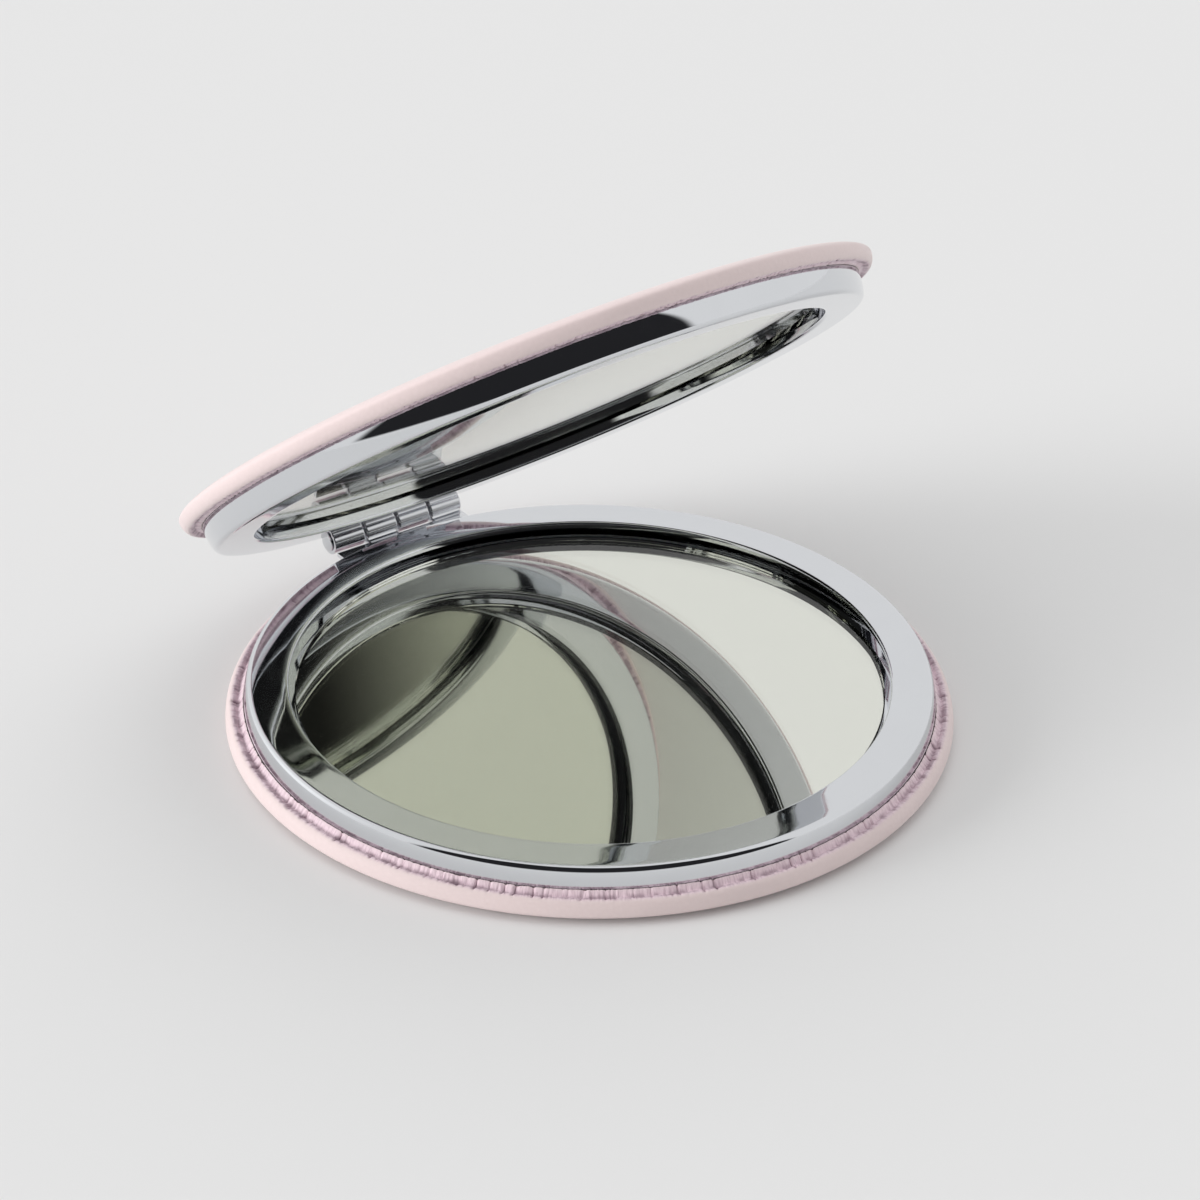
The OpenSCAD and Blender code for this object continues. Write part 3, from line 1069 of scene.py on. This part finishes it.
class COMPACT_OT_inner_parts(bpy.types.Operator):
    """Finish the boards, adhesive pads and magnets inside the covers and frames"""

    bl_idname = "compact.inner_parts"
    bl_label = "Inner parts"

    def execute(self, context):
        finishes = {
            "_cover_board": board_finish(),
            "_board_adhesive": pad_finish(),
            "_magnet": magnet_finish(),
        }
        for half in HALVES:
            for node, material in finishes.items():
                paint(half + node, material)
        return {"FINISHED"}


# Width of the camera's sensor in millimetres, the distances that it sees, and the floor
SENSOR_WIDTH = 36
CLIP_NEAR, CLIP_FAR = 0.01, 20
FLOOR_RADIUS, FLOOR_DROP = 3.0, 0.01 * MM
# Parts of the room from their soft edges: what is measured, and the degrees at which the edge is
# outside and inside. Turn goes to the right from straight behind the camera, height up from the
# horizon.
DARK_SIDE = (("turn", -57, -50), ("turn", 67, 63), ("height", 0, 3), ("height", 80, 70))
DULL_SIDE = (("turn", -50, 0), ("turn", 65, 30), ("height", 0, 5), ("height", 80, 50))
LIT_SIDE = (("turn", -150, -105), ("turn", -66, -105), ("height", 50, 18))
DARK_TONE = (0.02, 0.02, 0.022, 1.0)


def grey(level):
    return (level, level, level, 1.0)


class COMPACT_OT_stage(bpy.types.Operator):
    """Build the floor, the surroundings, the lamp and the camera"""

    bl_idname = "compact.stage"
    bl_label = "Stage"

    def execute(self, context):
        scene = context.scene
        stage = scene.compact_stage
        scene.view_settings.view_transform = "Standard"
        # The two mirrors face each other, and each reflection also passes twice through the glass
        scene.cycles.max_bounces = 40
        scene.cycles.glossy_bounces = 16
        scene.cycles.transmission_bounces = 32
        # Camera axes at the photograph's view
        ahead_flat = Vector((math.sin(-stage.azimuth), math.cos(-stage.azimuth), 0))
        side = Vector((ahead_flat.y, -ahead_flat.x, 0))
        ahead = ahead_flat * math.cos(stage.elevation) - Vector((0, 0, math.sin(stage.elevation)))
        above = ahead_flat * math.sin(stage.elevation) + Vector((0, 0, math.cos(stage.elevation)))
        right = side * math.cos(stage.roll) - above * math.sin(stage.roll)
        up = side * math.sin(stage.roll) + above * math.cos(stage.roll)
        place = -right * stage.right - up * stage.up - ahead * stage.distance
        data = bpy.data.cameras.new("camera")
        data.lens, data.sensor_width = stage.lens, SENSOR_WIDTH
        data.clip_start, data.clip_end = CLIP_NEAR, CLIP_FAR
        camera = placed("camera", data)
        turned = Matrix((right, up, -ahead)).transposed().to_4x4()
        camera.matrix_world = Matrix.Translation(place) @ turned
        scene.camera = camera
        # Floor
        mesh = bmesh.new()
        bmesh.ops.create_circle(mesh, cap_ends=True, segments=96, radius=FLOOR_RADIUS)
        data = plain("floor", mesh)
        data.transform(Matrix.Translation((0, 0, -FLOOR_DROP)))
        data.materials.append(floor_finish(stage))
        floor = placed("floor", data)
        # Soft lamp low at the left
        lamp = bpy.data.lights.new("key", "SUN")
        lamp.energy, lamp.angle = stage.key, stage.key_angle
        key = placed("key", lamp)
        flat = -side * math.cos(stage.key_turn) - ahead_flat * math.sin(stage.key_turn)
        toward = flat * math.cos(stage.key_height) + Vector((0, 0, math.sin(stage.key_height)))
        turned = toward.to_track_quat("Z", "Y").to_matrix().to_4x4()
        key.matrix_world = Matrix.Translation(toward) @ turned
        key.visible_glossy = key.visible_transmission = False
        # Surroundings: pale all round, with the dark side of the room behind and above the camera
        world = bpy.data.worlds.new("surroundings")
        scene.world = world
        world.use_nodes = True
        tree = world.node_tree
        tree.nodes.clear()
        look = add(tree, "ShaderNodeTexCoord").outputs["Generated"]
        back = vector(tree, "DOT_PRODUCT", look, tuple(-ahead_flat), result=1)
        across = vector(tree, "DOT_PRODUCT", look, tuple(side), result=1)
        rise = add(tree, "ShaderNodeSeparateXYZ", {0: look}).outputs[2]
        measures = {
            "turn": calc(tree, "ARCTAN2", across, back),
            "height": calc(tree, "ARCSINE", rise),
        }

        def part_of_room(edges):
            """Mask of a part of the room."""
            mask = 1.0
            for measure, outside, inside in edges:
                ends = math.radians(outside), math.radians(inside)
                mask = times(tree, remap(tree, measures[measure], *ends, 0.0, 1.0), mask)
            return mask

        def background(colour, strength=1.0):
            inputs = {"Color": colour, "Strength": strength}
            return add(tree, "ShaderNodeBackground", inputs).outputs[0]

        def either(choice, no, yes):
            """One of two shaders."""
            return add(tree, "ShaderNodeMixShader", {0: choice, 1: no, 2: yes}).outputs[0]

        tone = mixed(tree, part_of_room(LIT_SIDE), grey(stage.room), grey(stage.glow))
        tone = mixed(tree, part_of_room(DARK_SIDE), tone, DARK_TONE)
        dim = mixed(tree, part_of_room(DULL_SIDE), grey(1.0), grey(stage.shade))
        rays = add(tree, "ShaderNodeLightPath").outputs
        mirrored = calc(tree, "MAXIMUM", rays["Is Glossy Ray"], rays["Is Transmission Ray"])
        mix = either(mirrored, background(dim, stage.sky), background(tone))
        mix = either(rays["Is Camera Ray"], mix, background(grey(1.0), stage.backdrop))
        add(tree, "ShaderNodeOutputWorld", {0: mix})
        return {"FINISHED"}


OPERATORS = (
    COMPACT_OT_covers,
    COMPACT_OT_frames,
    COMPACT_OT_mirrors,
    COMPACT_OT_hinge,
    COMPACT_OT_inner_parts,
    COMPACT_OT_stage,
)
SETTINGS = {
    "compact_cover": CoverSettings,
    "compact_frame": FrameSettings,
    "compact_mirror": MirrorSettings,
    "compact_hinge": HingeSettings,
    "compact_stage": StageSettings,
}


class COMPACT_PT_sidebar(bpy.types.Panel):
    """Settings and steps of the compact"""

    bl_idname = "COMPACT_PT_sidebar"
    bl_label = "Compact mirror"
    bl_space_type = "VIEW_3D"
    bl_region_type = "UI"
    bl_category = "Compact"

    def draw(self, context):
        layout = self.layout
        for name in SETTINGS:
            settings = getattr(context.scene, name)
            box = layout.box()
            for key in settings.__annotations__:
                box.prop(settings, key)
        for operator in OPERATORS:
            layout.operator(operator.bl_idname)


def register():
    for name, group in SETTINGS.items():
        bpy.utils.register_class(group)
        setattr(bpy.types.Scene, name, PointerProperty(type=group))
    for operator in OPERATORS:
        bpy.utils.register_class(operator)
    bpy.utils.register_class(COMPACT_PT_sidebar)


def unregister():
    bpy.utils.unregister_class(COMPACT_PT_sidebar)
    for operator in reversed(OPERATORS):
        bpy.utils.unregister_class(operator)
    for name, group in SETTINGS.items():
        delattr(bpy.types.Scene, name)
        bpy.utils.unregister_class(group)


def main():
    register()
    bpy.ops.compact.covers()
    bpy.ops.compact.frames()
    bpy.ops.compact.mirrors()
    bpy.ops.compact.hinge()
    bpy.ops.compact.inner_parts()
    bpy.ops.compact.stage()


if __name__ == "__main__":
    main()
